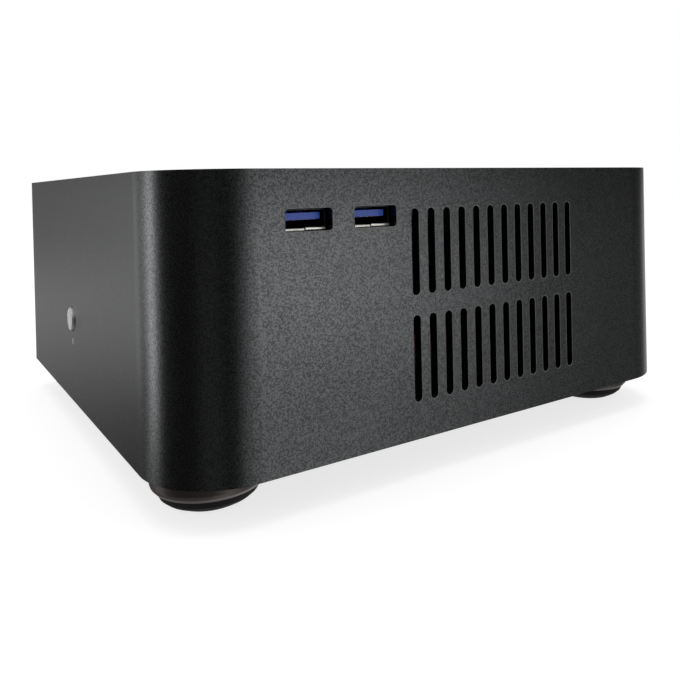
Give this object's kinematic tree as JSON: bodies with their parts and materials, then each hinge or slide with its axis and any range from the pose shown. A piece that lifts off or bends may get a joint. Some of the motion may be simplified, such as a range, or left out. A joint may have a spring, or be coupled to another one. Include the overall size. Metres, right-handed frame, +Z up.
{
  "type": "mini pc",
  "caption": "Small black desktop computer: slotted aluminium sleeve with round front corners, front sockets, side push button, fan-cooled mainboard, removable cover and round feet.",
  "frame": {"origin": "centre of the footprint, on the surface that the feet stand on", "axes": "+Z up, -Y the front with the sockets and slots, +X the right-hand side seen from the front"},
  "size_m": [0.2009, 0.1924, 0.0915],
  "materials": {
    "anodised_shell": "black anodised over a fine bead blast",
    "anodised_cover": "black anodised over a fine bead blast",
    "black_steel": "black powder coat",
    "mill_aluminium": "bare, brushed by the mill",
    "black_screw": "black oxide",
    "zinc_steel": "bright zinc plate",
    "foot_metal": "turned, grey, glossy",
    "foot_rubber": "matt rubber",
    "brass": "turned brass",
    "nickel": "bright nickel plate",
    "blue_plastic": "satin moulded plastic",
    "contact_gold": "thin gold plate",
    "circuit_board": "solder mask over glass fibre",
    "black_plastic": "moulded, matt",
    "button_metal": "satin silver",
    "clear_plastic": "clear light pipe",
    "led_plastic": "cast resin",
    "cable_black": "soft jacket",
    "cable_red": "soft jacket",
    "heatsink_aluminium": "extruded, bare",
    "ferrite": "pressed powder",
    "capacitor_can": "drawn can",
    "drive_metal": "painted cast housing"
  },
  "bodies": {
    "case": {"shell": "anodised_shell", "top_cover": "anodised_cover", "base_tray": "black_steel", "rear_panel": "black_steel", "side_rails": "mill_aluminium", "front_rail": "mill_aluminium", "cover_screws": "black_screw", "rear_screws": "black_screw", "wall_screws": "zinc_steel", "bracket_screws": "zinc_steel", "foot_cups": "foot_metal", "foot_pads": "foot_rubber", "foot_screws": "zinc_steel", "standoffs": "brass", "board_screws": "nickel", "usb_board": "circuit_board", "usb_bracket": "zinc_steel", "usb_shells": "nickel", "usb_tongues": "blue_plastic", "usb_contacts": "contact_gold", "usb_screws": "zinc_steel", "usb_cable": "cable_black", "switch_holder": "black_plastic", "switch_board": "circuit_board", "tact_switch": "black_plastic", "light_pipe": "clear_plastic", "power_led": "led_plastic", "switch_cable": "cable_black", "mainboard": "circuit_board", "io_shield": "nickel", "lan_jack": "nickel", "rear_usb_ports": "nickel", "video_ports": "nickel", "audio_jacks": "black_plastic", "cpu_socket": "black_plastic", "processor": "nickel", "heatsink": "heatsink_aluminium", "cooler_posts": "zinc_steel", "cooler_screws": "nickel", "cooler_backplate": "black_steel", "fan_frame": "black_plastic", "fan_screws": "black_screw", "memory_sockets": "black_plastic", "memory_modules": "circuit_board", "m2_drive": "circuit_board", "chipset_heatsink": "heatsink_aluminium", "inductors": "ferrite", "capacitors": "capacitor_can", "coin_cell": "nickel", "board_headers": "black_plastic", "dc_jack": "black_plastic", "dc_cable": "cable_black", "drive_bracket": "zinc_steel", "storage_drive": "drive_metal", "drive_screws": "zinc_steel", "sata_cable": "cable_red"},
    "button": {"power_button": "button_metal"},
    "rotor": {"fan_rotor": "black_plastic"}
  },
  "joints": [
    {"name": "power_button_press", "type": "slide", "parent": "case", "child": "button", "axis": [1, 0, 0], "range_m": [0, 0.0008], "stiffness_N_per_m": 2000, "springref_m": -0.0005},
    {"name": "fan_spin", "type": "hinge", "parent": "case", "child": "rotor", "pos_m": [0.008, 0.022, 0.061], "axis": [0, 0, 1], "continuous": true}
  ]
}
